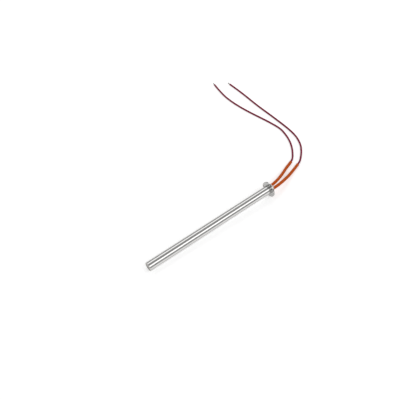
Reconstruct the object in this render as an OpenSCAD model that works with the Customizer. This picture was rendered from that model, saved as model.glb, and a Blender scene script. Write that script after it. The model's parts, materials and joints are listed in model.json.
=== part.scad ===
// Cartridge heater with a round screw flange and a pair of sleeved leads, in millimetres.
// The origin is on the sheath's axis at the flange's seating face. +X runs level towards the tip,
// and +Z is up. The heater lies on a table, on the flange's rim and the edge of its tip, so the
// sheath slopes down a little towards the tip.

/* [Sheath] */
// Outside diameter of the sheath
sheath_d = 10; // [9:0.5:14]
// Wall thickness of the sheath
sheath_wall = 0.7; // [0.4:0.1:1]
// Length from the flange's seating face to the tip
immersed_l = 165; // [100:5:250]
// Rounding of the sheath's outer edge at the tip
tip_round = 0.5; // [0.2:0.1:0.8]
// Thickness of the disc welded into the tip
end_disc_t = 2.5; // [1.5:0.5:5]

/* [Flange] */
// Outside diameter of the flange
flange_d = 19; // [17:0.5:30]
// Thickness of the flange plate
flange_t = 1.2; // [0.8:0.1:4]
// Diameter of each screw hole
hole_d = 2.4; // [1.6:0.1:3]
// Metal outside each screw hole
hole_rim = 0.8; // [0.4:0.1:1]
// Turn of the screw holes about the sheath, up on the +Y side
hole_turn = 9; // [-90:1:90]
// Depth by which the sheath is turned down to make a shoulder for the flange
stub_step = 0.2; // [0.1:0.05:0.3]
// Depth of the recess in the flange's face that takes the sheath's shoulder
seat_depth = 0.1; // [0.05:0.05:0.15]
// Leg of the weld bead behind the flange
weld_leg = 0.8; // [0.4:0.1:2]
// Plain sheath left behind the weld bead
stub_rim = 0.2; // [0.1:0.1:3]

/* [Heating element] */
// Thickness of the magnesia between the winding and the sheath
fill_t = 0.64; // [0.3:0.02:0.8]
// Diameter of each terminal pin
pin_d = 1.2; // [0.8:0.1:1.6]
// Ceramic outside each pin's hole in the core
core_rim = 0.45; // [0.3:0.05:0.8]
// Diameter of the resistance wire
wire_d = 0.5; // [0.3:0.05:0.6]
// Distance from turn to turn of the resistance wire
coil_pitch = 4; // [2:0.5:10]
// Room beside the wire where it crosses an end of the core
tail_clear = 0.45; // [0.2:0.05:1]
// Distance from each end of the core to its first full turn
wind_margin = 1.5; // [0.5:0.5:6]
// Thickness of the insulator at the tip
bottom_insulator_t = 3; // [1:0.5:8]
// Length of the ceramic spacer over the unheated end
spacer_l = 12; // [4:1:30]
// Depth of the short pin in the core
short_pin_depth = 12; // [4:1:30]

/* [Leads] */
// Outside diameter of each lead
lead_d = 2.2; // [1.4:0.1:2.4]
// Diameter of each lead's conductor
conductor_d = 1; // [0.6:0.1:1.2]
// Length of conductor stripped at each free end
strip_l = 4; // [2:1:10]
// Wall thickness of each sleeve
sleeve_wall = 0.5; // [0.3:0.1:0.7]
// Radial play of a lead in its sleeve
lead_play = 0.15; // [0.1:0.05:0.3]
// Turn of the leads and pins about the sheath, down on the +Y side
lead_turn = 25; // [-90:5:90]
// Gap between the two sleeves at the seal
sleeve_gap = 0.4; // [0.2:0.1:1]

/* [Seal and crimps] */
// Length of the seal that stands out of the sheath
seal_proud = 3; // [1:0.5:6]
// Rounding of the seal's outer edge
seal_round = 0.35; // [0.25:0.1:1.25]
// Length of sleeve held in the seal
sleeve_depth = 5; // [2:1:10]
// Length of bare lead between its sleeve and its crimp
lead_cover = 2.4; // [1:0.2:8]
// Length of each crimp barrel
crimp_l = 8; // [5:1:14]
// Wall thickness of each crimp barrel
crimp_wall = 0.5; // [0.3:0.1:0.8]
// Depth of the dents pressed into each crimp barrel
crimp_dent = 0.2; // [0.1:0.05:0.25]
// Length of each dent along its crimp barrel
dent_l = 1.6; // [1:0.2:2.4]
// Seal between the crimps and the spacer
crimp_cover = 0.3; // [0.2:0.1:2]

/* [Fits] */
// Radial clearance between pieces that slide together
slip = 0.05; // [0.02:0.01:0.1]

/* [Hidden] */
$fn = 64;
core_count = 4;
lead_sides = 8;
wire_sides = 6;
turn_steps = 12;
past = 1;

// Radii
sheath_r = sheath_d / 2;
bore_r = sheath_r - sheath_wall;
stub_r = sheath_r - stub_step;
tip_r = min(tip_round, sheath_wall);
pin_r = pin_d / 2;
wire_r = wire_d / 2;
lead_r = lead_d / 2;
conductor_r = conductor_d / 2;
sleeve_bore_r = lead_r + lead_play;
sleeve_r = sleeve_bore_r + sleeve_wall;
crimp_r = max(pin_r, conductor_r) + slip + crimp_wall;

// Winding, core and pins, from the sheath inwards
fill_r = bore_r - slip - fill_t;
coil_r = fill_r - slip - wire_r;
core_r = coil_r * cos(180 / turn_steps) - wire_r - slip;
pin_y = core_r - core_rim - slip - pin_r;
tail_r = pin_y + pin_r + wire_r + slip / 2;

// Leads, in line with the pins unless their sleeves need more room
lead_y = max(pin_y, sleeve_r + sleeve_gap / 2);

// Flange, and the slope at which the heater rests on its rim and its tip
flange_r = flange_d / 2;
hole_y = flange_r - hole_rim - hole_d / 2;
rest_tilt = atan((flange_r - sheath_r) / (immersed_l - tip_r));
table_z = -flange_r * cos(rest_tilt);

// Stations along the sheath from the free end of the seal to the tip
sheath_end = -(flange_t + weld_leg + stub_rim);
seal_end = sheath_end - seal_proud;
sleeve_in = seal_end + sleeve_depth;
lead_in = sleeve_in + lead_cover;
crimp_end = lead_in + crimp_l;
crimp_mid = lead_in + crimp_l / 2;
spacer_x = crimp_end + crimp_cover;
coil_gap = wire_d + 2 * tail_clear;
core_x = spacer_x + spacer_l + coil_gap;
disc_x = immersed_l - end_disc_t;
insulator_x = disc_x - bottom_insulator_t;
core_end = insulator_x - coil_gap;
core_l = (core_end - core_x) / core_count;
long_pin_end = core_end + coil_gap - tail_clear / 2;

// Routes of the leads beyond the seal: X, Y and lift above lying flat on the table.
// Each sleeve ends at the point whose place in the list is given after the route.
route_a = [
    [-14, -3.5, 8.6], [-24, -7, 6.2], [-34, -11.5, 3.3], [-44, -16.2, 1.2], [-55, -20.2, 0.7],
    [-61.5, -24, 0.3], [-67.5, -30, 0], [-73, -37, 0], [-78.5, -46.5, 0], [-82.5, -58, 0],
    [-84.5, -71, 0], [-82, -86.4, 0], [-78, -102, 0], [-74, -117, 0], [-70.8, -131.5, 0],
    [-68.6, -146.4, 0], [-68, -161, 0], [-69.5, -176, 0], [-71.7, -189, 0]
];
sleeve_a_last = 5;
route_b = [
    [-14, 1.3, 7.5], [-24.5, -1, 5.5], [-35.5, -4.2, 2.9], [-47, -8.2, 1], [-59, -12.3, 0.7],
    [-66, -15.5, 0.3], [-73.2, -21.2, 0], [-79, -26.8, 0], [-85.2, -34.7, 0], [-90, -45.5, 0],
    [-92.2, -57, 0], [-92.7, -71, 0], [-92.2, -87, 0], [-91.5, -102, 0], [-90.7, -117, 0],
    [-90.4, -132, 0], [-90.4, -147, 0], [-89.9, -162.4, 0], [-89, -177, 0]
];
sleeve_b_last = 5;

// Paths and sweeps

function unit(v) = v / norm(v);

// Direction of a path at point i
function heading(path, i) = unit(path[min(i + 1, len(path) - 1)] - path[max(i - 1, 0)]);

// Point at share t of the smooth span from b to c, with neighbours a and d
function on_span(a, b, c, d, t) =
    0.5 * (2 * b + (c - a) * t + (2 * a - 5 * b + 4 * c - d) * t * t
        + (3 * b - a - 3 * c + d) * t * t * t);

// A point given along the sheath, as it lies on the table
function lain(p) = [
    p.x * cos(rest_tilt) + p.z * sin(rest_tilt), p.y, p.z * cos(rest_tilt) - p.x * sin(rest_tilt)
];

// Point of a lead inside the seal: side -1 is lead a, side +1 is lead b
function exit_point(side, x) =
    lain([x, side * lead_y * cos(lead_turn), -side * lead_y * sin(lead_turn)]);

// A route's points in space, with its exit and a point inside the seal put first
function route_points(side, route) = concat(
    [exit_point(side, sleeve_in), exit_point(side, seal_end)],
    [for (p = route) [p.x, p.y, table_z + lead_r + p.z]]
);

// A point of a lead's centre line, raised where it would sink into the table
function on_table(p) = [p.x, p.y, max(p.z, table_z + lead_r)];

// Smooth centre line of a lead: one point between each two route points outside the seal
function lead_line(side, route) =
    let (p = route_points(side, route), last = len(p) - 1)
    concat(
        [exit_point(side, lead_in), p[0]],
        [for (i = [1:last - 1], t = [0, 0.5])
            on_table(on_span(p[i - 1], p[i], p[i + 1], p[min(i + 2, last)], t))],
        [p[last]]
    );

// Rings of points round a path that lies nearly flat, first point lowest
function flat_rings(path, r) = [
    for (i = [0:len(path) - 1])
        let (t = heading(path, i), side = unit(cross(t, [0, 0, 1])), up = cross(side, t))
        [for (k = [0:lead_sides - 1])
            let (a = 360 * k / lead_sides + 90)
            path[i] + r * (cos(a) * side - sin(a) * up)]
];

// Side faces between rings of n points, from point number start on
function wall_faces(count, n, start, inward) = [
    for (i = [0:count - 2], k = [0:n - 1])
        let (
            a = start + i * n + k,
            b = start + i * n + (k + 1) % n,
            quad = inward ? [a, b, b + n, a + n] : [b, a, a + n, b + n]
        )
        each [[quad[0], quad[1], quad[2]], [quad[0], quad[2], quad[3]]]
];

function flat(lists) = [for (l = lists) each l];

// Solid swept through rings of n points
module swept(rings, n) {
    last = (len(rings) - 1) * n;
    caps = [[for (k = [0:n - 1]) k], [for (k = [n - 1:-1:0]) last + k]];
    polyhedron(flat(rings), concat(caps, wall_faces(len(rings), n, 0, false)));
}

// Hollow tube swept through outer and inner rings of n points
module swept_tube(outer, inner, n) {
    count = len(outer);
    total = count * n;
    ends = [
        for (k = [0:n - 1])
            let (j = (k + 1) % n, e = (count - 1) * n)
            each [
                [k, j, total + j], [k, total + j, total + k],
                [e + j, e + k, total + e + k], [e + j, total + e + k, total + e + j]
            ]
    ];
    polyhedron(
        concat(flat(outer), flat(inner)),
        concat(wall_faces(count, n, 0, false), wall_faces(count, n, total, true), ends)
    );
}

// Shapes along the sheath

// Lays what was drawn along X on the table
module lying() {
    rotate([0, rest_tilt, 0]) children();
}

// Turns what was drawn with its pins along Y about the sheath
module rolled() {
    rotate([-lead_turn, 0, 0]) children();
}

// Round bar along X from x0 to x1, off the axis by y
module bar(x0, x1, r, y = 0) {
    translate([x0, y, 0]) rotate([0, 90, 0]) cylinder(r = r, h = x1 - x0);
}

// Solid of revolution about X, its profile drawn as radius by X
module turned() {
    rotate([0, 90, 0]) rotate_extrude() children();
}

// Quarter of a disc on the side away from the axis: towards the tip for way 1, from it for way -1
module quarter(r, way) {
    intersection() {
        circle(r);
        translate([0, way < 0 ? -r : 0]) square(r);
    }
}

// Ceramic piece with a hole for each pin
module pin_block(x0, x1, r) {
    rolled() difference() {
        bar(x0, x1, r);
        for (side = [-1, 1])
            bar(x0 - past, x1 + past, pin_r + slip, side * pin_y);
    }
}

// Sub-parts

// Tube with a rounded edge at the tip, and a thinner stub behind the flange's shoulder
module sheath_tube() {
    color("silver") turned() {
        translate([bore_r, sheath_end]) square([stub_r - bore_r, past - sheath_end]);
        translate([bore_r, -seat_depth]) square([sheath_wall, immersed_l - tip_r + seat_depth]);
        translate([bore_r, 0]) square([sheath_wall - tip_r, immersed_l]);
        translate([sheath_r - tip_r, immersed_l - tip_r]) quarter(tip_r, 1);
    }
}

module end_disc() {
    color("gainsboro") bar(disc_x, immersed_l, bore_r);
}

// Round plate with a bore for the stub, a recess for the sheath's shoulder and two screw holes
module mounting_flange() {
    color("silver") rotate([hole_turn, 0, 0]) difference() {
        bar(-flange_t, 0, flange_r);
        bar(-flange_t - past, past, stub_r + slip);
        bar(-seat_depth, past, sheath_r + slip);
        for (side = [-1, 1])
            bar(-flange_t - past, past, hole_d / 2, side * hole_y);
    }
}

module flange_weld() {
    color("darkgray") turned() translate([stub_r, -flange_t]) quarter(weld_leg, -1);
}

module bottom_insulator() {
    color("ivory") bar(insulator_x, disc_x, bore_r - slip);
}

// Ceramic core number n, counted from the flange
module core_segment(n) {
    color("ivory") pin_block(core_x + (n - 1) * core_l, core_x + n * core_l, core_r);
}

// Wire wound round the cores. At each end it crosses the end of the core, and its tail turns
// inwards to lie against a pin: the short one at the flange end, the long one at the tip end.
module resistance_coil() {
    first_x = core_x + wind_margin;
    last_x = core_end - wind_margin;
    turns = round((last_x - first_x) / coil_pitch) + 2.5;
    steps = turns * turn_steps;
    tail_steps = turn_steps / 4;
    wind_steps = steps - 2 * turn_steps;
    function from_end(i) = min(i, steps - i);
    function wire_rad(i) = tail_r + (coil_r - tail_r) * max(0, min(1, from_end(i) / tail_steps));
    function end_share(i) = max(0, min(1, (from_end(i) - tail_steps) / (turn_steps - tail_steps)));
    function wire_x(i) =
        i < turn_steps ? core_x - coil_gap / 2 + (wind_margin + coil_gap / 2) * end_share(i)
        : i > steps - turn_steps ? core_end + coil_gap / 2 - (wind_margin + coil_gap / 2) * end_share(i)
        : first_x + (last_x - first_x) * (i - turn_steps) / wind_steps;
    function outwards(i) = let (a = 180 + 360 * i / turn_steps) [0, cos(a), sin(a)];
    path = [for (i = [-1:steps + 1]) [wire_x(i), 0, 0] + wire_rad(i) * outwards(i)];
    rings = [
        for (i = [0:len(path) - 1])
            let (t = heading(path, i), across = unit(cross(outwards(i - 1), t)), out = cross(t, across))
            [for (k = [0:wire_sides - 1])
                let (a = 360 * k / wire_sides)
                path[i] + wire_r * (cos(a) * out - sin(a) * across)]
    ];
    color("dimgray") rolled() swept(rings, wire_sides);
}

module long_pin() {
    color("lightgray") rolled() bar(crimp_mid, long_pin_end, pin_r, pin_y);
}

module short_pin() {
    color("lightgray") rolled() bar(crimp_mid, core_x + short_pin_depth, pin_r, -pin_y);
}

module mgo_fill() {
    color("whitesmoke") difference() {
        bar(spacer_x + spacer_l, insulator_x, bore_r - slip);
        bar(spacer_x + spacer_l - past, insulator_x + past, fill_r);
    }
}

module top_spacer() {
    color("ivory") pin_block(spacer_x, spacer_x + spacer_l, bore_r - slip);
}

module cement_seal() {
    seal_r = bore_r - slip;
    color("seashell") rolled() difference() {
        turned() {
            translate([0, seal_end + seal_round]) square([seal_r, spacer_x - seal_end - seal_round]);
            translate([0, seal_end]) square([seal_r - seal_round, spacer_x - seal_end]);
            translate([seal_r - seal_round, seal_end + seal_round]) quarter(seal_round, -1);
        }
        for (side = [-1, 1]) {
            bar(seal_end - past, sleeve_in, sleeve_r + slip, side * lead_y);
            bar(sleeve_in - past, lead_in + slip, lead_r + slip, side * lead_y);
            bar(lead_in, crimp_end, crimp_r + slip, side * pin_y);
            bar(crimp_end - past, spacer_x + past, pin_r + slip, side * pin_y);
        }
    }
}

// Barrel with a pin in one end and a conductor in the other, dented over each
module crimp(side) {
    dent_r = (dent_l * dent_l / 4 + crimp_dent * crimp_dent) / (2 * crimp_dent);
    color("goldenrod") rolled() difference() {
        bar(lead_in, crimp_end, crimp_r, side * pin_y);
        bar(lead_in - past, crimp_end + past, min(pin_r, conductor_r) + slip, side * pin_y);
        if (pin_r > conductor_r)
            bar(crimp_mid, crimp_end + past, pin_r + slip, side * pin_y);
        if (conductor_r > pin_r)
            bar(lead_in - past, crimp_mid, conductor_r + slip, side * pin_y);
        for (x = [lead_in + crimp_l / 4, crimp_end - crimp_l / 4])
            translate([x, side * pin_y, crimp_r - crimp_dent + dent_r])
                rotate([90, 0, 0]) cylinder(r = dent_r, h = 2 * crimp_r + past, center = true);
    }
}

module strand_end(side) {
    color("lightgray") rolled() bar(lead_in, crimp_mid, conductor_r, side * pin_y);
}

module sleeve(side, route, last) {
    line = lead_line(side, route);
    held = [for (i = [1:2 * last + 2]) line[i]];
    color("orangered") swept_tube(
        flat_rings(held, sleeve_r), flat_rings(held, sleeve_bore_r), lead_sides
    );
}

module lead(side, route) {
    color("crimson") swept(flat_rings(lead_line(side, route), lead_r), lead_sides);
}

// Stripped conductor that carries on from the end of a lead
module lead_tip(side, route) {
    line = lead_line(side, route);
    end = line[len(line) - 1];
    t = heading(line, len(line) - 1);
    color("lightgray") translate(end) rotate([0, acos(t.z), atan2(t.y, t.x)])
        cylinder(r = conductor_r, h = strip_l);
}

lying() sheath_tube();
lying() end_disc();
lying() mounting_flange();
lying() flange_weld();
lying() bottom_insulator();
lying() core_segment(1);  // core_segment_1
lying() core_segment(2);  // core_segment_2
lying() core_segment(3);  // core_segment_3
lying() core_segment(4);  // core_segment_4
lying() resistance_coil();
lying() long_pin();
lying() short_pin();
lying() mgo_fill();
lying() top_spacer();
lying() cement_seal();
lying() crimp(-1);  // crimp_a
lying() crimp(1);  // crimp_b
lying() strand_end(-1);  // strand_end_a
lying() strand_end(1);  // strand_end_b
sleeve(-1, route_a, sleeve_a_last);  // sleeve_a
sleeve(1, route_b, sleeve_b_last);  // sleeve_b
lead(-1, route_a);  // lead_a
lead(1, route_b);  // lead_b
lead_tip(-1, route_a);  // lead_tip_a
lead_tip(1, route_b);  // lead_tip_b
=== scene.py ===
"""Looks of a cartridge heater with a round screw flange and a pair of sleeved leads.

Built in metres around the packed solids, in their frame: +X level towards the tip, +Z up from the table.
"""

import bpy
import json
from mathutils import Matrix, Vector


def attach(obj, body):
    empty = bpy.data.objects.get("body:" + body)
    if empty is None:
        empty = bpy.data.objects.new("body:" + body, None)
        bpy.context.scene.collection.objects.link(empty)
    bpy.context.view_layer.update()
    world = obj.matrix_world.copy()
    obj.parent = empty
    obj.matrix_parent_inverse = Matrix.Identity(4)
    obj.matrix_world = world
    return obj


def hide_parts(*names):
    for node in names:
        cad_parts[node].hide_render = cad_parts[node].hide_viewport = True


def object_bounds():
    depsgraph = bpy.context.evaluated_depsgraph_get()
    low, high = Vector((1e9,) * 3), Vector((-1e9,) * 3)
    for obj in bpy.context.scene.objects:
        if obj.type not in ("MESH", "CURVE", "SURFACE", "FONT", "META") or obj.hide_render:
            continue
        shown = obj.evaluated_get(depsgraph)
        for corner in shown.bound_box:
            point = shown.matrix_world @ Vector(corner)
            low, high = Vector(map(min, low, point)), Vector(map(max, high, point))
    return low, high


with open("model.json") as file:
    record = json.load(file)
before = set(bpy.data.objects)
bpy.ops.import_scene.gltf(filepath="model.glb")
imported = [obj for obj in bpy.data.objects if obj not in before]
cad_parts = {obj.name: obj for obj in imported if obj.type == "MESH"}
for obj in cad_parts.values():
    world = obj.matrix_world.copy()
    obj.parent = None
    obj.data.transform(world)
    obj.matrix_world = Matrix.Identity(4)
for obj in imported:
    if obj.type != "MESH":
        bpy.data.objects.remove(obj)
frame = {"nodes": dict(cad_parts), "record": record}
CAD_BOX = [list(corner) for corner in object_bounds()]

import json
import math

import bmesh
import bpy
import numpy as np
from bpy.props import FloatProperty, FloatVectorProperty, IntProperty, PointerProperty
from mathutils import Vector

bl_info = {
    "name": "Cartridge heater",
    "version": (1, 0, 0),
    "blender": (4, 5, 0),
    "location": "View3D > Sidebar > Heater",
    "description": "Dresses the solids of a flanged cartridge heater",
    "category": "Object",
}

# Frame of the sheath as it lies: along it, across it and square to both
SHEATH_AXIS = next(m["axis"] for m in frame["record"]["mounts"] if m["name"] == "sheath")
ALONG = np.array(SHEATH_AXIS, float)
ACROSS = np.array([0.0, 1.0, 0.0])
UPWARDS = np.cross(ALONG, ACROSS)
SLOPE = math.atan2(-ALONG[2], ALONG[0])
TABLE_Z = CAD_BOX[0][2]

# Routes of the leads beyond the seal, in millimetres: X, Y and lift above lying flat on the table
ROUTES = {
    "a": [
        [-14, -3.5, 8.6], [-24, -7, 6.2], [-34, -11.5, 3.3], [-44, -16.2, 1.2], [-55, -20.2, 0.7],
        [-61.5, -24, 0.3], [-67.5, -30, 0], [-73, -37, 0], [-78.5, -46.5, 0], [-82.5, -58, 0],
        [-84.5, -71, 0], [-82, -86.4, 0], [-78, -102, 0], [-74, -117, 0], [-70.8, -131.5, 0],
        [-68.6, -146.4, 0], [-68, -161, 0], [-69.5, -176, 0], [-71.7, -189, 0],
    ],
    "b": [
        [-14, 1.3, 7.5], [-24.5, -1, 5.5], [-35.5, -4.2, 2.9], [-47, -8.2, 1], [-59, -12.3, 0.7],
        [-66, -15.5, 0.3], [-73.2, -21.2, 0], [-79, -26.8, 0], [-85.2, -34.7, 0], [-90, -45.5, 0],
        [-92.2, -57, 0], [-92.7, -71, 0], [-92.2, -87, 0], [-91.5, -102, 0], [-90.7, -117, 0],
        [-90.4, -132, 0], [-90.4, -147, 0], [-89.9, -162.4, 0], [-89, -177, 0],
    ],
}
SIDES = {"a": -1, "b": 1}
# Each sleeve ends at this point of its route, counted from one
SLEEVE_LAST = 5
# Points of a lead's centre line from one knot to the next
KNOT_STEPS = 26

# Softboxes: place of the middle, and size along and across the sheath, in metres
NEAR_SOFTBOX = ((-0.40, 0.813, 1.0145), (2.4, 0.72))
FAR_SOFTBOX = ((-0.40, -0.870, 0.966), (2.4, 0.745))

# Fineness of the meshes
SHEATH_COLUMNS = 128
DISC_COLUMNS = 160
FLANGE_COLUMNS = 108
HOLE_STEPS = 6
LEAD_COLUMNS = 24
STRAND_COLUMNS = 10
SLEEVE_ROWS, SLEEVE_COLUMNS = 380, 64

# Fine lengths, in metres: gap between fitted pieces, and roundings of a cut lead and of the stub's end
FIT_GAP = 0.00002
CUT_ROUND = 0.00012
STUB_ROUND = 0.00008

# Inner pieces that keep their solids, with the finish of each
INNER_FINISHES = {
    "magnesia": [
        "bottom_insulator", "core_segment_1", "core_segment_2", "core_segment_3", "core_segment_4",
        "mgo_fill", "top_spacer",
    ],
    "winding": ["resistance_coil"],
    "pin": ["long_pin", "short_pin"],
    "crimp": ["crimp_a", "crimp_b"],
    "conductor": ["strand_end_a", "strand_end_b"],
    "cement": ["cement_seal"],
}


def length(label, description, default):
    """A length in metres that the sidebar shows."""
    return FloatProperty(
        name=label, description=description, default=default, min=0.0, unit="LENGTH", precision=5
    )


def colour(label, description, default):
    """A colour of a finish, in linear light."""
    return FloatVectorProperty(
        name=label, description=description, default=default, size=3, min=0.0, max=1.0, subtype="COLOR"
    )


class SheathSizes(bpy.types.PropertyGroup):
    """Sizes of the sheath and the disc in its tip."""

    diameter: length("Diameter", "Outside diameter of the sheath", 0.010)
    wall: length("Wall", "Wall thickness of the sheath", 0.0007)
    immersed: length("Length", "Length from the flange's seating face to the tip", 0.165)
    tip_round: length("Tip rounding", "Rounding of the outer edge at the tip", 0.0005)
    stub_step: length("Stub step", "Depth by which the sheath is turned down behind the flange", 0.0002)
    stub: length("Stub", "Length of the turned-down stub behind the seating face", 0.0022)
    seat: length("Seat", "Depth of the sheath's shoulder in the flange's face", 0.0001)
    disc: length("Disc", "Thickness of the disc in the tip", 0.0025)
    dish: length("Dish", "Depth by which the disc's face is hollowed", 0.00012)
    bead: length("Bead height", "Height of the weld ring round the disc", 0.0001)


class FlangeSizes(bpy.types.PropertyGroup):
    """Sizes of the flange and its weld bead."""

    diameter: length("Diameter", "Outside diameter of the flange", 0.019)
    thickness: length("Thickness", "Thickness of the plate", 0.0012)
    hole: length("Hole", "Diameter of each screw hole", 0.0024)
    hole_place: length("Hole place", "Distance of each screw hole from the sheath's axis", 0.0075)
    hole_turn: FloatProperty(
        name="Hole turn", description="Turn of the holes about the sheath",
        default=math.radians(9), subtype="ANGLE",
    )
    edge: length("Edge", "Rounding of the plate's edges", 0.00012)
    weld_leg: length("Weld leg", "Leg of the bead behind the flange", 0.0008)
    weld_ripples: IntProperty(name="Ripples", description="Ripples round the weld bead", default=34, min=3)


class LeadSizes(bpy.types.PropertyGroup):
    """Sizes of the leads, their sleeves and their stripped ends."""

    diameter: length("Lead", "Outside diameter of each lead", 0.0022)
    a_length: length("Lead a", "Length of lead a from its crimp to the end of its insulation", 0.2435)
    b_length: length("Lead b", "Length of lead b from its crimp to the end of its insulation", 0.2435)
    offset: length("Offset", "Distance of each lead from the sheath's axis in the seal", 0.00195)
    turn: FloatProperty(
        name="Turn", description="Turn of the leads about the sheath",
        default=math.radians(25), subtype="ANGLE",
    )
    seal_end: length("Seal end", "Distance from the seating face back to the end of the seal", 0.0052)
    sleeve_in: length("Sleeve start", "Distance from the seating face back to its hidden end", 0.0002)
    lead_in: length("Lead start", "Distance from the seating face on to the lead's hidden end", 0.0022)
    sleeve_bore: length("Sleeve bore", "Inside radius of each sleeve", 0.00125)
    sleeve_radius: length("Sleeve radius", "Outside radius of each sleeve", 0.00175)
    braid_depth: length("Braid depth", "Depth of the braid's relief", 0.00017)
    braid_yarns: IntProperty(name="Yarns", description="Yarns of the braid each way round", default=8, min=3)
    strip: length("Strip", "Length of bare conductor at the free end", 0.004)
    conductor: length("Conductor", "Diameter of the conductor", 0.001)
    strand_twists: FloatProperty(
        name="Twists", description="Turns of the strands in the bare end", default=0.45
    )


class FinishColours(bpy.types.PropertyGroup):
    """Colours of the finishes, in linear light."""

    steel: colour("Sheath", "Ground steel of the sheath", (0.64, 0.635, 0.625))
    steel_edge: colour("Sheath edge", "Tint of the sheath at a glancing angle", (0.52, 0.518, 0.512))
    disc: colour("Disc", "Machined steel of the tip", (0.24, 0.237, 0.230))
    plate: colour("Flange", "Satin steel of the flange", (0.47, 0.466, 0.457))
    straw: colour("Weld tint", "Tint that heat leaves beside a weld", (0.50, 0.42, 0.31))
    cement: colour("Cement", "Potting cement", (0.80, 0.73, 0.66))
    magnesia: colour("Magnesia", "Fired magnesia", (0.80, 0.77, 0.69))
    wire: colour("Wire", "Oxidised resistance wire", (0.16, 0.15, 0.145))
    nickel: colour("Pins", "Nickel of the pins", (0.60, 0.57, 0.52))
    plating: colour("Crimps", "Plating of the crimps", (0.62, 0.48, 0.24))
    tin: colour("Strands", "Dulled tinned copper strands", (0.20, 0.172, 0.150))
    sleeve: colour("Sleeves", "Coated braid of the sleeves", (0.70, 0.118, 0.004))
    # Painted shade: the braid's colour in the gaps between its yarns, where shade falls
    sleeve_gap_shade: colour("Sleeve gaps", "Braid of the sleeves between its yarns", (0.30, 0.040, 0.002))
    lead: colour("Leads", "Insulation of the leads", (0.24, 0.006, 0.040))


class StageSizes(bpy.types.PropertyGroup):
    """Camera, floor and lights."""

    camera: FloatVectorProperty(
        name="Camera", description="Place of the camera", default=(0.3047, 0.2713, 0.4793),
        subtype="XYZ", unit="LENGTH",
    )
    aim: FloatVectorProperty(
        name="Aim", description="Point that the camera looks at", default=(0.06633, -0.04101, -0.0095),
        subtype="XYZ", unit="LENGTH",
    )
    lens: FloatProperty(name="Lens", description="Focal length of the camera, in millimetres", default=49.5)
    floor: length("Floor", "Half the width of the floor", 8.0)
    floor_glow: FloatProperty(
        name="Floor glow", description="Light that the floor shows by itself", default=0.42
    )
    near_light: FloatProperty(name="Near light", description="Radiance of the near softbox", default=1.5)
    far_light: FloatProperty(name="Far light", description="Radiance of the far softbox", default=1.05)
    room_light: FloatProperty(name="Room light", description="Radiance of the room", default=0.36)


# Shader trees


class Wire:
    """An output socket of a shader tree. An operator on it adds a Math node."""

    def __init__(self, tree, socket):
        self.tree = tree
        self.socket = socket

    def maths(self, operation, first, second):
        return self.tree.node("ShaderNodeMath", {"operation": operation}, {0: first, 1: second})

    def __add__(self, other):
        return self.maths("ADD", self, other)

    def __radd__(self, other):
        return self.maths("ADD", other, self)

    def __sub__(self, other):
        return self.maths("SUBTRACT", self, other)

    def __rsub__(self, other):
        return self.maths("SUBTRACT", other, self)

    def __mul__(self, other):
        return self.maths("MULTIPLY", self, other)

    def __rmul__(self, other):
        return self.maths("MULTIPLY", other, self)


class Tree:
    """The node tree of a material or a world."""

    def __init__(self, owner):
        owner.use_nodes = True
        self.owner = owner
        self.tree = owner.node_tree
        self.tree.nodes.clear()

    def node(self, kind, settings, inputs, output=0):
        """Adds a node of a type: its settings are set first, then its sockets are filled or linked."""
        made = self.tree.nodes.new(kind)
        for name, value in settings.items():
            setattr(made, name, value)
        for key, value in inputs.items():
            if isinstance(value, Wire):
                self.tree.links.new(value.socket, made.inputs[key])
            else:
                made.inputs[key].default_value = value
        return Wire(self, made.outputs[output]) if made.outputs else None

    def along_sheath(self, scale):
        """Object coordinates turned to run along the sheath, then scaled."""
        place = self.node("ShaderNodeTexCoord", {}, {}, "Object")
        turned = self.node("ShaderNodeMapping", {}, {"Vector": place, "Rotation": (0.0, -SLOPE, 0.0)})
        return self.node("ShaderNodeMapping", {}, {"Vector": turned, "Scale": scale})

    def noise(self, vector, scale, detail=2.0, roughness=0.5):
        """Cloudy noise from 0 to 1."""
        return self.node(
            "ShaderNodeTexNoise", {},
            {"Vector": vector, "Scale": scale, "Detail": detail, "Roughness": roughness},
        )

    def between(self, value, low, high):
        """Share of the way of a value from low to high, held between 0 and 1."""
        return self.node("ShaderNodeMapRange", {}, {"Value": value, "From Min": low, "From Max": high})

    def blend(self, share, first, second):
        """Colour that goes from the first to the second with the share."""
        ends = {0: share, 6: paint(first), 7: paint(second)}
        return self.node("ShaderNodeMix", {"data_type": "RGBA"}, ends, 2)

    def bump(self, height, strength, distance):
        """Surface direction of a relief whose full height is the distance."""
        return self.node("ShaderNodeBump", {}, {"Height": height, "Strength": strength, "Distance": distance})

    def surface(self, inputs):
        """Closes a material with one principled shader."""
        shader = self.node("ShaderNodeBsdfPrincipled", {}, inputs)
        self.node("ShaderNodeOutputMaterial", {}, {"Surface": shader})
        return self.owner


def paint(value):
    """A colour with its alpha, or the wire that brings one."""
    return value if isinstance(value, Wire) else (*value, 1.0)


def shade(tint, share):
    """A colour times a share."""
    return tuple(channel * share for channel in tint)


def ground_steel():
    """Steel ground round the sheath: fine rings of noise stretched round it, and faint handling marks. Its
    reflection is darker at a glancing angle."""
    tints = bpy.context.scene.heater_finish
    tint = tints.steel
    tree = Tree(bpy.data.materials.new("ground_steel"))
    rings = tree.noise(tree.along_sheath((5200.0, 90.0, 90.0)), 1.0, 3.0)
    bands = tree.noise(tree.along_sheath((420.0, 30.0, 30.0)), 1.0, 2.0)
    marks = tree.between(tree.noise(tree.along_sheath((90.0, 260.0, 260.0)), 1.0, 4.0), 0.5, 0.8)
    return tree.surface({
        "Base Color": tree.blend(rings * 0.6 + bands * 0.4, shade(tint, 0.90), shade(tint, 1.08)),
        "Metallic": 1.0,
        "Roughness": rings * 0.07 + bands * 0.05 + marks * 0.05 + 0.07,
        "Specular Tint": paint(tints.steel_edge),
        "Normal": tree.bump(rings, 0.12, 0.00002),
    })


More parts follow.
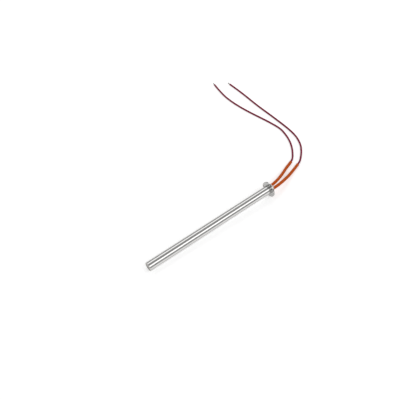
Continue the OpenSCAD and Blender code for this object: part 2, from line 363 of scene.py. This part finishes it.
def machined_steel():
    """Steel of the tip: turning rings about its axis, darker towards a heat-tinted weld ring."""
    tints = bpy.context.scene.heater_finish
    tree = Tree(bpy.data.materials.new("machined_steel"))
    square = tree.along_sheath((0.0, 1.0, 1.0))
    radius = tree.node("ShaderNodeVectorMath", {"operation": "LENGTH"}, {0: square}, "Value")
    rings = tree.node("ShaderNodeTexNoise", {"noise_dimensions": "1D"}, {"W": radius * 5000.0, "Scale": 1.0})
    clouds = tree.noise(tree.along_sheath((900.0, 900.0, 900.0)), 1.0, 3.0)
    weld = tree.between(radius, 0.0034, 0.0041)
    face = tree.blend(rings, shade(tints.disc, 0.66), shade(tints.disc, 1.34))
    tinted = tree.blend(clouds, shade(tints.steel, 0.62), shade(tints.straw, 0.9))
    return tree.surface({
        "Base Color": tree.blend(weld, face, tinted),
        "Metallic": 1.0,
        "Roughness": rings * 0.12 + clouds * 0.10 + 0.24,
        "Normal": tree.bump(rings * (1.0 - weld) + clouds * weld, 0.25, 0.00003),
    })


def satin_plate():
    """Satin steel of the flange: faint grain along one way of the rolled plate, with small scuffs."""
    tint = bpy.context.scene.heater_finish.plate
    tree = Tree(bpy.data.materials.new("satin_plate"))
    grain = tree.noise(tree.along_sheath((700.0, 5200.0, 160.0)), 1.0, 3.0)
    scuffs = tree.between(tree.noise(tree.along_sheath((600.0, 600.0, 600.0)), 1.0, 4.0), 0.52, 0.75)
    return tree.surface({
        "Base Color": tree.blend(grain, shade(tint, 0.88), shade(tint, 1.12)),
        "Metallic": 1.0,
        "Roughness": grain * 0.04 + scuffs * 0.06 + 0.035,
        "Normal": tree.bump(grain + scuffs * 0.5, 0.06, 0.00002),
    })


def weld_steel():
    """Steel of the bead: ripples come from its mesh, straw and grey tints from cloudy noise."""
    tints = bpy.context.scene.heater_finish
    tree = Tree(bpy.data.materials.new("weld_steel"))
    clouds = tree.noise(tree.along_sheath((700.0, 420.0, 420.0)), 1.0, 4.0)
    grit = tree.noise(tree.along_sheath((6000.0, 6000.0, 6000.0)), 1.0, 2.0)
    return tree.surface({
        "Base Color": tree.blend(tree.between(clouds, 0.35, 0.68), shade(tints.plate, 0.85), tints.straw),
        "Metallic": 1.0,
        "Roughness": clouds * 0.16 + grit * 0.10 + 0.22,
        "Normal": tree.bump(grit, 0.2, 0.00003),
    })


def potting_cement():
    """Matt cement: grains from cells, pitting sunk by the bump and darkened as painted shade, and slow
    changes of tone.
    """
    tint = bpy.context.scene.heater_finish.cement
    tree = Tree(bpy.data.materials.new("potting_cement"))
    place = tree.along_sheath((1.0, 1.0, 1.0))
    tone = tree.noise(place, 420.0, 3.0)
    cells = tree.node("ShaderNodeTexVoronoi", {}, {"Vector": place, "Scale": 3200.0}, "Distance")
    pits_and_shade = tree.between(tree.noise(place, 1500.0, 2.0), 0.64, 0.72)
    return tree.surface({
        # Painted shade: the pitting is darker in the base colour, besides being sunk by the bump
        "Base Color": tree.blend(tone * 0.7 + pits_and_shade * 0.5, shade(tint, 1.04), shade(tint, 0.74)),
        "Roughness": cells * 0.12 + 0.80,
        "Normal": tree.bump(cells * 0.5 - pits_and_shade, 0.5, 0.00006),
    })


def coated_braid():
    """Coated glass braid: painted shade darkens the gaps between its yarns by their relief, and fine threads
    run along each yarn.
    """
    tints = bpy.context.scene.heater_finish
    tree = Tree(bpy.data.materials.new("coated_braid"))
    relief = tree.node("ShaderNodeAttribute", {"attribute_name": "relief"}, {}, "Fac")
    around = tree.node("ShaderNodeTexCoord", {}, {}, "UV")
    slant = tree.node("ShaderNodeMapping", {}, {"Vector": around, "Scale": (64.0, 22.0, 1.0)})
    threads = tree.noise(slant, 1.0, 3.0)
    tone = tree.noise(around, 3.0, 2.0)
    lit = tree.blend(threads * 0.6 + tone * 0.4, shade(tints.sleeve, 0.80), shade(tints.sleeve, 1.12))
    return tree.surface({
        # Painted shade: the base colour falls to the gap colour where the yarns' relief is low
        "Base Color": tree.blend(tree.between(relief, 0.15, 0.85), tints.sleeve_gap_shade, lit),
        "Roughness": threads * 0.14 - relief * 0.10 + 0.46,
        "Specular IOR Level": 0.12,
        "Coat Weight": relief * 0.05,
        "Coat Roughness": 0.3,
        "Normal": tree.bump(threads, 0.2, 0.00003),
    })


def insulation():
    """Smooth insulation: faint lines drawn along it, soft sheen and slow changes of tone."""
    tint = bpy.context.scene.heater_finish.lead
    tree = Tree(bpy.data.materials.new("insulation"))
    around = tree.node("ShaderNodeTexCoord", {}, {}, "UV")
    drawn = tree.node("ShaderNodeMapping", {}, {"Vector": around, "Scale": (40.0, 0.8, 1.0)})
    slow = tree.node("ShaderNodeMapping", {}, {"Vector": around, "Scale": (1.0, 0.5, 1.0)})
    lines = tree.noise(drawn, 1.0, 2.0)
    tone = tree.noise(slow, 1.0, 3.0)
    return tree.surface({
        "Base Color": tree.blend(lines * 0.5 + tone * 0.5, shade(tint, 0.62), shade(tint, 1.36)),
        "Roughness": lines * 0.16 + tone * 0.12 + 0.34,
        "Specular IOR Level": 0.14,
        "Normal": tree.bump(lines, 0.3, 0.00003),
    })


def drawn_metal(name, tint, roughness, grain, darkening):
    """Metal with fine grain along the sheath, darker in cloudy patches."""
    tree = Tree(bpy.data.materials.new(name))
    lines = tree.noise(tree.along_sheath((grain * 0.05, grain, grain)), 1.0, 3.0)
    patches = tree.noise(tree.along_sheath((350.0, 500.0, 500.0)), 1.0, 3.0)
    return tree.surface({
        "Base Color": tree.blend(tree.between(patches, 0.35, 0.75), tint, shade(tint, darkening)),
        "Metallic": 1.0,
        "Roughness": lines * 0.14 + patches * 0.12 + roughness,
        "Normal": tree.bump(lines, 0.15, 0.00002),
    })


def fired_magnesia():
    """Matt fired ceramic: fine grains, faint speckles and a chalky tone."""
    tint = bpy.context.scene.heater_finish.magnesia
    tree = Tree(bpy.data.materials.new("fired_magnesia"))
    place = tree.along_sheath((1.0, 1.0, 1.0))
    tone = tree.noise(place, 260.0, 3.0)
    specks = tree.between(tree.noise(place, 2600.0, 2.0), 0.66, 0.74)
    grains = tree.node("ShaderNodeTexVoronoi", {}, {"Vector": place, "Scale": 4200.0}, "Distance")
    return tree.surface({
        "Base Color": tree.blend(tone * 0.5 + specks * 0.5, shade(tint, 1.05), shade(tint, 0.78)),
        "Roughness": grains * 0.10 + 0.82,
        "Normal": tree.bump(grains, 0.35, 0.00004),
    })


# Surfaces


def lain(x, y, z):
    """Points given along the sheath, as they lie: x along it, plus y across it, plus z square to both."""
    x, y, z = np.broadcast_arrays(x, y, z)
    return x[..., None] * ALONG + y[..., None] * ACROSS + z[..., None] * UPWARDS


def ring_angles(columns, start=0.0):
    """Angles of a full turn, with the first one repeated at the end."""
    return start + np.linspace(0.0, 2.0 * math.pi, columns + 1)


def turned(x, r, angle):
    """Surface of revolution about the sheath's axis: at each angle, radius r at the distance x along it."""
    x, r = np.atleast_2d(x.T).T, np.atleast_2d(r.T).T
    return lain(x + 0.0 * angle, r * np.cos(angle), r * np.sin(angle))


def profile(*stretches):
    """Joins stretches of (x, r) points into one pair of columns."""
    points = np.concatenate([np.atleast_2d(np.asarray(s, float)) for s in stretches])
    return points[:, 0], points[:, 1]


def rounding(x, r, radius, first, last, steps=8):
    """Points of an arc about (x, r), by the angle from the axis direction, in degrees."""
    turn = np.radians(np.linspace(first, last, steps + 1))
    return np.stack([x + radius * np.cos(turn), r + radius * np.sin(turn)], axis=-1)


def add_piece(name, sheets, node, material, sharp=32.0, relief=None, uv=None):
    """Object of sheets of points, each an array of rows and columns. Quads join each point to the next
    one in its row and in its column. Points that meet are merged, which closes seams and poles."""
    starts = np.cumsum([0] + [s.shape[0] * s.shape[1] for s in sheets])
    faces = []
    for start, sheet in zip(starts, sheets):
        number = start + np.arange(sheet.shape[0] * sheet.shape[1]).reshape(sheet.shape[:2])
        corners = [number[:-1, :-1], number[:-1, 1:], number[1:, 1:], number[1:, :-1]]
        faces.append(np.stack(corners, axis=-1).reshape(-1, 4))
    points = np.concatenate([s.reshape(-1, 3) for s in sheets])
    mesh = bpy.data.meshes.new(name)
    mesh.from_pydata(points.tolist(), [], np.concatenate(faces).tolist())
    if uv is not None:
        corner = np.empty(len(mesh.loops), dtype=np.int32)
        mesh.loops.foreach_get("vertex_index", corner)
        laid = np.concatenate([u.reshape(-1, 2) for u in uv])[corner]
        mesh.uv_layers.new(name="UVMap").data.foreach_set("uv", laid.astype(np.float32).ravel())
    if relief is not None:
        height = np.concatenate([h.ravel() for h in relief]).astype(np.float32)
        mesh.attributes.new("relief", "FLOAT", "POINT").data.foreach_set("value", height)
    work = bmesh.new()
    work.from_mesh(mesh)
    bmesh.ops.remove_doubles(work, verts=work.verts, dist=1e-6)
    bmesh.ops.recalc_face_normals(work, faces=work.faces)
    work.to_mesh(mesh)
    work.free()
    mesh.shade_smooth()
    mesh.set_sharp_from_angle(angle=math.radians(sharp))
    mesh.materials.append(material)
    piece = bpy.data.objects.new(name, mesh)
    bpy.context.scene.collection.objects.link(piece)
    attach(piece, "root")
    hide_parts(node)
    return piece


# Paths of the leads


def exit_point(side, x):
    """Point of a lead in the seal, by its distance along the sheath."""
    sizes = bpy.context.scene.heater_leads
    across, drop = side * sizes.offset * math.cos(sizes.turn), side * sizes.offset * math.sin(sizes.turn)
    return lain(np.array(x), np.array(across), np.array(-drop))


def lead_line(name):
    """Centre line of a lead, from its hidden end on. Between knots b and c with neighbours a and d it is the
    cubic that leaves b along c - a and reaches c along d - b."""
    sizes = bpy.context.scene.heater_leads
    route = np.array(ROUTES[name]) / 1000.0
    route[:, 2] += TABLE_Z + sizes.diameter / 2
    hidden = [exit_point(SIDES[name], x) for x in (sizes.lead_in, -sizes.sleeve_in, -sizes.seal_end)]
    knots = np.vstack([hidden[0], hidden, route, route[-1]])
    a, b, c, d = (knots[i:len(knots) - 3 + i, None, :] for i in range(4))
    t = np.linspace(0.0, 1.0, KNOT_STEPS, endpoint=False)[None, :, None]
    span = 0.5 * (
        2 * b + (c - a) * t + (2 * a - 5 * b + 4 * c - d) * t ** 2 + (3 * b - a - 3 * c + d) * t ** 3
    )
    line = np.vstack([span.reshape(-1, 3), knots[-1]])
    line[:, 2] = np.maximum(line[:, 2], TABLE_Z + sizes.diameter / 2)
    return line


def path_frames(line):
    """Unit vectors of a path that lies nearly flat: forwards, to its side, and up square to both."""
    forward = np.gradient(line, axis=0)
    forward /= np.linalg.norm(forward, axis=1, keepdims=True)
    side = np.cross(forward, [0.0, 0.0, 1.0])
    side /= np.linalg.norm(side, axis=1, keepdims=True)
    return forward, side, np.cross(side, forward)


def distance_along(line):
    """Distance of each point of a path from its start."""
    return np.concatenate([[0.0], np.cumsum(np.linalg.norm(np.diff(line, axis=0), axis=1))])


def ringed(centre, side, up, radius, angle):
    """Rings round a path: each centre plus the radius times cos(angle) to its side and sin(angle) up."""
    across = np.cos(angle)[None, :, None] * side[:, None, :] + np.sin(angle)[None, :, None] * up[:, None, :]
    return centre[:, None, :] + radius[..., None] * across


# Operators


class HEATER_OT_stage(bpy.types.Operator):
    """Make the camera, the floor, the lights and the room"""

    bl_idname = "heater.stage"
    bl_label = "Stage"

    def execute(self, context):
        sizes = context.scene.heater_stage
        camera = bpy.data.objects.new("camera", bpy.data.cameras.new("camera"))
        camera.data.lens = sizes.lens
        camera.data.sensor_width = 36.0
        camera.data.clip_start = 0.01
        camera.location = sizes.camera
        camera.rotation_euler = (Vector(sizes.aim) - Vector(sizes.camera)).to_track_quat("-Z", "Y").to_euler()
        context.scene.collection.objects.link(camera)
        context.scene.camera = camera
        context.scene.view_settings.view_transform = "Standard"
        self.floor(context, sizes)
        self.softbox(context, "near_softbox", *NEAR_SOFTBOX, sizes.near_light)
        self.softbox(context, "far_softbox", *FAR_SOFTBOX, sizes.far_light)
        world = bpy.data.worlds.new("room")
        tree = Tree(world)
        white = {"Color": (1.0, 1.0, 1.0, 1.0), "Strength": sizes.room_light}
        room = tree.node("ShaderNodeBackground", {}, white)
        tree.node("ShaderNodeOutputWorld", {}, {"Surface": room})
        context.scene.world = world
        return {"FINISHED"}

    def floor(self, context, sizes):
        """Flat white sheet that glows a little by itself where it is looked at or mirrored."""
        half = sizes.floor
        square = [(-half, -half), (half, -half), (half, half), (-half, half)]
        corners = [(x, y, TABLE_Z) for x, y in square]
        mesh = bpy.data.meshes.new("floor")
        mesh.from_pydata(corners, [], [(0, 1, 2, 3)])
        tree = Tree(bpy.data.materials.new("white_sheet"))
        white = {"Base Color": (0.9, 0.9, 0.9, 1.0), "Roughness": 0.9, "Specular IOR Level": 0.0}
        plain = tree.node("ShaderNodeBsdfPrincipled", {}, white)
        glowing = {"Emission Color": (1.0, 1.0, 1.0, 1.0), "Emission Strength": sizes.floor_glow}
        shown = tree.node("ShaderNodeBsdfPrincipled", {}, {**white, **glowing})
        rays = ("Camera", "Glossy", "Transmission")
        seen = [tree.node("ShaderNodeLightPath", {}, {}, f"Is {ray} Ray") for ray in rays]
        mixed = tree.node("ShaderNodeMixShader", {}, {0: seen[0] + seen[1] + seen[2], 1: plain, 2: shown})
        tree.node("ShaderNodeOutputMaterial", {}, {"Surface": mixed})
        mesh.materials.append(tree.owner)
        floor = bpy.data.objects.new("floor", mesh)
        context.scene.collection.objects.link(floor)

    def softbox(self, context, name, place, size, radiance):
        """Area light that faces the line of the sheath square on, and that the camera does not see."""
        lamp = bpy.data.lights.new(name, "AREA")
        lamp.shape = "RECTANGLE"
        lamp.size, lamp.size_y = size
        lamp.energy = math.pi * size[0] * size[1] * radiance
        box = bpy.data.objects.new(name, lamp)
        box.location = place
        facing = Vector((0.0, -place[1], -place[2]))
        box.rotation_euler = facing.to_track_quat("-Z", "Y").to_euler()
        box.visible_camera = False
        context.scene.collection.objects.link(box)


class HEATER_OT_sleeves(bpy.types.Operator):
    """Make the braided sleeves over the first part of the leads"""

    bl_idname = "heater.sleeves"
    bl_label = "Sleeves"

    def execute(self, context):
        finish = coated_braid()
        for name in ROUTES:
            self.sleeve(context.scene.heater_leads, name, finish)
        return {"FINISHED"}

    def sleeve(self, sizes, name, finish):
        """Tube whose outer wall carries two sets of yarns that wind opposite ways and pass over and under
        each other: a yarn is a rounded ridge, raised where it passes over and lowered where it passes
        under."""
        line = lead_line(name)
        held = line[KNOT_STEPS:KNOT_STEPS * (SLEEVE_LAST + 2) + 1]
        far = distance_along(held)
        even = np.linspace(0.0, far[-1], SLEEVE_ROWS)
        centre = np.stack([np.interp(even, far, held[:, k]) for k in range(3)], axis=-1)
        forward, side, up = path_frames(centre)
        angle = ring_angles(SLEEVE_COLUMNS)
        round_about = 2.0 * math.pi * sizes.sleeve_radius
        turn, run = np.meshgrid(angle / (2.0 * math.pi), even / round_about)
        p, q = sizes.braid_yarns * (turn + run), sizes.braid_yarns * (turn - run)
        ridge_p, ridge_q = np.abs(np.sin(math.pi * p)) ** 0.6, np.abs(np.sin(math.pi * q)) ** 0.6
        over = np.cos(math.pi * (q - 0.5 + np.floor(p))) * np.abs(np.sin(math.pi * p)) ** 0.3
        under = -np.cos(math.pi * (p - 0.5 + np.floor(q))) * np.abs(np.sin(math.pi * q)) ** 0.3
        height = np.maximum(0.6 * ridge_p + 0.4 * over, 0.6 * ridge_q + 0.4 * under)
        height = np.clip(height, 0.0, 1.0)
        outer = ringed(centre, side, up, sizes.sleeve_radius + sizes.braid_depth * (height - 0.75), angle)
        ends = np.linspace(1.0, 0.0, 5)[1:-1]
        wall = sizes.sleeve_radius - sizes.sleeve_bore
        bulge = CUT_ROUND * np.sin(math.pi * ends)[:, None]
        rim = ringed(
            centre[-1] + bulge * forward[-1],
            np.repeat(side[-1:], len(ends), 0), np.repeat(up[-1:], len(ends), 0),
            np.repeat((sizes.sleeve_bore + wall * ends)[:, None], len(angle), 1), angle,
        )
        inside = centre[::-4]
        bore_radius = np.full((len(inside), 1), sizes.sleeve_bore)
        bore = ringed(inside, side[::-4], up[::-4], bore_radius, angle)
        points = np.concatenate([outer, rim, bore, outer[:1]])
        plain = np.zeros((len(points) - len(outer), len(angle)))
        # The rim and the bore take a relief of 0.3, which paints them mostly in the painted gap shade
        relief = np.concatenate([height, plain + 0.3])
        laid = np.stack([np.concatenate([turn, plain]), np.concatenate([run, plain])], axis=-1)
        add_piece(
            f"braided_sleeve_{name}", [points], f"sleeve_{name}", finish,
            sharp=60.0, relief=[relief], uv=[laid],
        )


class HEATER_OT_lead_tips(bpy.types.Operator):
    """Make the bare twisted strands at the free ends of the leads"""

    bl_idname = "heater.lead_tips"
    bl_label = "Bare ends"

    def execute(self, context):
        tints = context.scene.heater_finish
        finish = drawn_metal("tinned_strands", tints.tin, 0.20, 9000.0, 0.8)
        for name in ROUTES:
            self.tip(context.scene.heater_leads, name, finish)
        return {"FINISHED"}

    def tip(self, sizes, name, finish):
        """Seven strands: one along the middle, and six about it that turn evenly with the distance."""
        line = lead_line(name)
        forward, side, up = (axis[-1] for axis in path_frames(line))
        thin = sizes.conductor / 6
        run = np.linspace(-0.001, sizes.strip, 40)
        around = ring_angles(STRAND_COLUMNS)
        lie = np.append(0.0, np.full(6, 2 * thin))[:, None]
        turn = np.append(0.0, np.arange(6) * math.pi / 3)[:, None]
        turn = turn + sizes.strand_twists * 2.0 * math.pi * run[None, :] / sizes.strip
        middle = (
            line[-1] + run[None, :, None] * forward
            + (lie * np.cos(turn))[..., None] * side + (lie * np.sin(turn))[..., None] * up
        )
        caps = np.concatenate([[0.0], np.full(len(run) - 2, thin), [0.0]])
        caps[1], caps[-2] = thin * 0.8, thin * 0.8
        across = np.cos(around)[:, None] * side + np.sin(around)[:, None] * up
        strands = middle[:, :, None, :] + caps[None, :, None, None] * across[None, None]
        add_piece(f"bare_strands_{name}", list(strands), f"lead_tip_{name}", finish, 50.0)


class HEATER_OT_leads(bpy.types.Operator):
    """Make the insulated leads along their routes"""

    bl_idname = "heater.leads"
    bl_label = "Leads"

    def execute(self, context):
        sizes = context.scene.heater_leads
        finish = insulation()
        for name, full in (("a", sizes.a_length), ("b", sizes.b_length)):
            piece, line = self.lead(sizes, name, finish)
            exit_point(SIDES[name], -sizes.seal_end)
        return {"FINISHED"}

    def lead(self, sizes, name, finish):
        """Round tube along the centre line, closed at both ends, with a small rounding where it was cut."""
        line = lead_line(name)
        forward, side, up = path_frames(line)
        angle = ring_angles(LEAD_COLUMNS)
        r = sizes.diameter / 2
        share = np.array([0.0, 1.0 / 3.0, 1.0])
        back = share * CUT_ROUND
        cut = r - CUT_ROUND + CUT_ROUND * np.sqrt(1.0 - (1.0 - share) ** 2)
        end = line[-1] - back[::-1, None] * forward[-1]
        centre = np.vstack([line[:1], line[:-1], end, line[-1:]])
        number = np.concatenate([[0], np.arange(len(line) - 1), np.full(4, len(line) - 1)])
        radius = np.concatenate([[0.0], np.full(len(line) - 1, r), cut[::-1], [0.0]])
        points = ringed(centre, side[number], up[number], radius[:, None], angle)
        turn, run = np.meshgrid(angle / (2.0 * math.pi), distance_along(centre) / (math.pi * sizes.diameter))
        laid = np.stack([turn, run], axis=-1)
        piece = add_piece(f"insulated_lead_{name}", [points], f"lead_{name}", finish, 50.0, uv=[laid])
        return piece, line


class HEATER_OT_sheath(bpy.types.Operator):
    """Make the ground sheath with its rounded tip and its stub"""

    bl_idname = "heater.sheath"
    bl_label = "Sheath"

    def execute(self, context):
        sizes = context.scene.heater_sheath
        r = sizes.diameter / 2
        bore, stub = r - sizes.wall, r - sizes.stub_step
        end, soft, nick = sizes.immersed, sizes.tip_round, STUB_ROUND
        # Rings close to both edges keep the smooth shading of the wall straight
        close, clear = 0.0001, 0.0003
        wall = np.linspace(-sizes.seat + clear, end - soft - clear, 40)
        x, radius = profile(
            [[-sizes.stub, bore], [-sizes.stub, stub - nick]],
            rounding(-sizes.stub + nick, stub - nick, nick, 180, 90, 4),
            [[-sizes.seat, stub], [-sizes.seat, r], [-sizes.seat + close, r]],
            np.stack([wall, np.full_like(wall, r)], axis=-1),
            [[end - soft - close, r]], rounding(end - soft, r - soft, soft, 90, 0),
            [[end, bore], [end - sizes.disc, bore], [-sizes.stub, bore]],
        )
        points = turned(x, radius, ring_angles(SHEATH_COLUMNS))
        add_piece("ground_sheath", [points], "sheath_tube", ground_steel())
        return {"FINISHED"}


class HEATER_OT_end_disc(bpy.types.Operator):
    """Make the disc in the tip with its weld ring"""

    bl_idname = "heater.end_disc"
    bl_label = "End disc"

    def execute(self, context):
        """Shallow dish, x falling with the square of the radius towards its middle, then a weld ring whose
        section is half an ellipse, its height rippled round the disc by a raised sine."""
        sizes = context.scene.heater_sheath
        bore, end = sizes.diameter / 2 - sizes.wall, sizes.immersed
        angle = ring_angles(DISC_COLUMNS)
        # The ring starts on the disc and ends on the sheath's wall
        inner, outer = bore - 0.0006, bore + 0.00015
        side, sunk = bore - FIT_GAP, end - 0.00005
        dish = np.linspace(0.0, inner, 24)
        across = np.linspace(0.0, 1.0, 13)[1:]
        r = np.concatenate([dish, inner + (outer - inner) * across, [side, side, 0.0]])
        rise = np.sqrt(1.0 - (2.0 * across - 1.0) ** 2)
        ripple = 0.8 + 0.2 * np.abs(np.sin(22.0 * angle[None, :] + 2.5 * across[:, None]))
        x = np.concatenate([
            np.repeat((end - sizes.dish * (1.0 - (dish / inner) ** 2))[:, None], len(angle), 1),
            end + sizes.bead * rise[:, None] * ripple,
            np.repeat(np.array([[sunk], [end - sizes.disc], [end - sizes.disc]]), len(angle), 1),
        ])
        points = turned(x, r[:, None], angle)
        add_piece("tip_disc", [points], "end_disc", machined_steel(), 40.0)
        return {"FINISHED"}


class HEATER_OT_flange(bpy.types.Operator):
    """Make the round plate with its two screw holes"""

    bl_idname = "heater.flange"
    bl_label = "Flange"

    def execute(self, context):
        """Flat sheets between the plate's edges, and walls that turn each edge with a small rounding. A sheet
        beside a hole goes straight from the hole's circle to the border of its share of the plate."""
        sizes = context.scene.heater_flange
        sheath_r = context.scene.heater_sheath.diameter / 2
        rim, bore, hole = sizes.diameter / 2, sheath_r + FIT_GAP, sizes.hole / 2
        soft, thick = sizes.edge, sizes.thickness
        # A hole's share of the plate reaches half to each side of it
        step = 2.0 * math.pi / FLANGE_COLUMNS
        half = HOLE_STEPS * step
        turn = np.radians(np.linspace(0, 90, 4))
        inset = soft * (1.0 - np.cos(turn[::-1]))
        depth = soft * (1.0 - np.cos(turn))
        wall_x = -np.concatenate([depth, thick - depth[::-1]])
        wall_in = np.concatenate([inset, inset[::-1]])
        radial = np.linspace(bore + soft, rim - soft, 2 * HOLE_STEPS + 1)
        angle = ring_angles(FLANGE_COLUMNS, half + sizes.hole_turn)
        sheets = [
            turned(wall_x, rim - wall_in, angle),
            turned(wall_x, bore + wall_in, angle),
        ]
        for first in (sizes.hole_turn, sizes.hole_turn + math.pi):
            share = first + half + step * np.arange(FLANGE_COLUMNS // 2 - 2 * HOLE_STEPS + 1)
            place = radial[:, None]
            plate = np.stack([place * np.cos(share), place * np.sin(share)], axis=-1)
            sheets += [lain(np.array(x), plate[..., 0], plate[..., 1]) for x in (0.0, -thick)]
            sheets += self.round_hole(sizes, first, radial, step, half, hole, wall_x, wall_in)
        add_piece("screw_flange", sheets, "mounting_flange", satin_plate())
        return {"FINISHED"}

    def round_hole(self, sizes, first, radial, step, half, hole, wall_x, wall_in):
        """Both faces of the plate round one hole, and the hole's wall."""
        arc = np.arange(-HOLE_STEPS, HOLE_STEPS + 1) * step
        count = len(arc) - 1
        border = np.concatenate([
            np.stack([np.full(count, radial[-1]), arc[:-1]], axis=-1),
            np.stack([radial[:0:-1], np.full(count, half)], axis=-1),
            np.stack([np.full(count, radial[0]), arc[:0:-1]], axis=-1),
            np.stack([radial, np.full(count + 1, -half)], axis=-1),
        ])
        flat = border[:, :1] * np.stack([np.cos(border[:, 1] + first), np.sin(border[:, 1] + first)], axis=-1)
        middle = sizes.hole_place * np.array([math.cos(first), math.sin(first)])
        towards = (flat - middle) / np.linalg.norm(flat - middle, axis=1, keepdims=True)
        circle = middle + (hole + sizes.edge) * towards
        share = np.linspace(0.0, 1.0, 8)[:, None, None]
        web = circle + share * (flat - circle)
        ring = middle + (hole + wall_in)[:, None, None] * towards
        return [lain(np.array(x), web[..., 0], web[..., 1]) for x in (0.0, -sizes.thickness)] + [
            lain(wall_x[:, None], ring[..., 0], ring[..., 1])
        ]


class HEATER_OT_flange_weld(bpy.types.Operator):
    """Make the rippled weld bead behind the flange"""

    bl_idname = "heater.flange_weld"
    bl_label = "Weld bead"

    def execute(self, context):
        """Quarter round in the corner of plate and stub. Its leg swells in ripples round the bead, each a
        raised sine that leans with the angle of the section."""
        sizes = context.scene.heater_flange
        sheath = context.scene.heater_sheath
        corner_r, corner_x = sheath.diameter / 2 - sheath.stub_step, -sizes.thickness
        angle = ring_angles(sizes.weld_ripples * 12)
        section = np.radians(np.linspace(0, 90, 13))[:, None]
        ripple = np.abs(np.sin(sizes.weld_ripples / 2 * angle[None, :] + 0.5 * np.sin(2.0 * section)))
        leg = sizes.weld_leg * (0.93 + 0.09 * ripple * np.sin(2.0 * section) ** 0.5)
        x = corner_x - leg * np.sin(section)
        r = corner_r + leg * np.cos(section)
        close = np.full((1, len(angle)), corner_x)
        x = np.concatenate([close, x, close])
        r = np.concatenate([np.full_like(close, corner_r), r, np.full_like(close, corner_r)])
        add_piece("weld_bead", [turned(x, r, angle)], "flange_weld", weld_steel(), 60.0)
        return {"FINISHED"}


class HEATER_OT_inner_pieces(bpy.types.Operator):
    """Give the seal and the pieces inside the sheath their finishes"""

    bl_idname = "heater.inner_pieces"
    bl_label = "Seal and inner pieces"

    def execute(self, context):
        tints = context.scene.heater_finish
        finishes = {
            "magnesia": fired_magnesia(),
            "winding": drawn_metal("oxidised_wire", tints.wire, 0.42, 6000.0, 0.7),
            "pin": drawn_metal("nickel", tints.nickel, 0.24, 7000.0, 0.85),
            "crimp": drawn_metal("plated_barrel", tints.plating, 0.22, 5000.0, 0.8),
            "conductor": drawn_metal("tinned_ends", tints.tin, 0.26, 9000.0, 0.8),
            "cement": potting_cement(),
        }
        for finish, names in INNER_FINISHES.items():
            for name in names:
                for place in frame["nodes"][name].material_slots:
                    place.material = finishes[finish]
        return {"FINISHED"}


class HEATER_PT_sidebar(bpy.types.Panel):
    """Sizes, colours and steps of the heater"""

    bl_idname = "HEATER_PT_sidebar"
    bl_label = "Cartridge heater"
    bl_space_type = "VIEW_3D"
    bl_region_type = "UI"
    bl_category = "Heater"

    def draw(self, context):
        for operator in OPERATORS:
            self.layout.operator(operator.bl_idname)
        for group in GROUPS:
            box = self.layout.box()
            box.label(text=GROUPS[group].__doc__)
            for name in GROUPS[group].__annotations__:
                box.prop(getattr(context.scene, group), name)


GROUPS = {
    "heater_sheath": SheathSizes,
    "heater_flange": FlangeSizes,
    "heater_leads": LeadSizes,
    "heater_finish": FinishColours,
    "heater_stage": StageSizes,
}
OPERATORS = [
    HEATER_OT_stage,
    HEATER_OT_sleeves,
    HEATER_OT_lead_tips,
    HEATER_OT_leads,
    HEATER_OT_sheath,
    HEATER_OT_end_disc,
    HEATER_OT_flange,
    HEATER_OT_flange_weld,
    HEATER_OT_inner_pieces,
]


def register():
    for made in [*GROUPS.values(), *OPERATORS, HEATER_PT_sidebar]:
        bpy.utils.register_class(made)
    for name, group in GROUPS.items():
        setattr(bpy.types.Scene, name, PointerProperty(type=group))


def unregister():
    for name in GROUPS:
        delattr(bpy.types.Scene, name)
    for made in reversed([*GROUPS.values(), *OPERATORS, HEATER_PT_sidebar]):
        bpy.utils.unregister_class(made)


def main():
    """Registers the classes and makes every piece in order; the solids' box is noted when the script starts.
    """
    register()
    bpy.ops.heater.stage()
    bpy.ops.heater.sleeves()
    bpy.ops.heater.lead_tips()
    bpy.ops.heater.leads()
    bpy.ops.heater.sheath()
    bpy.ops.heater.end_disc()
    bpy.ops.heater.flange()
    bpy.ops.heater.flange_weld()
    bpy.ops.heater.inner_pieces()


if __name__ == "__main__":
    main()
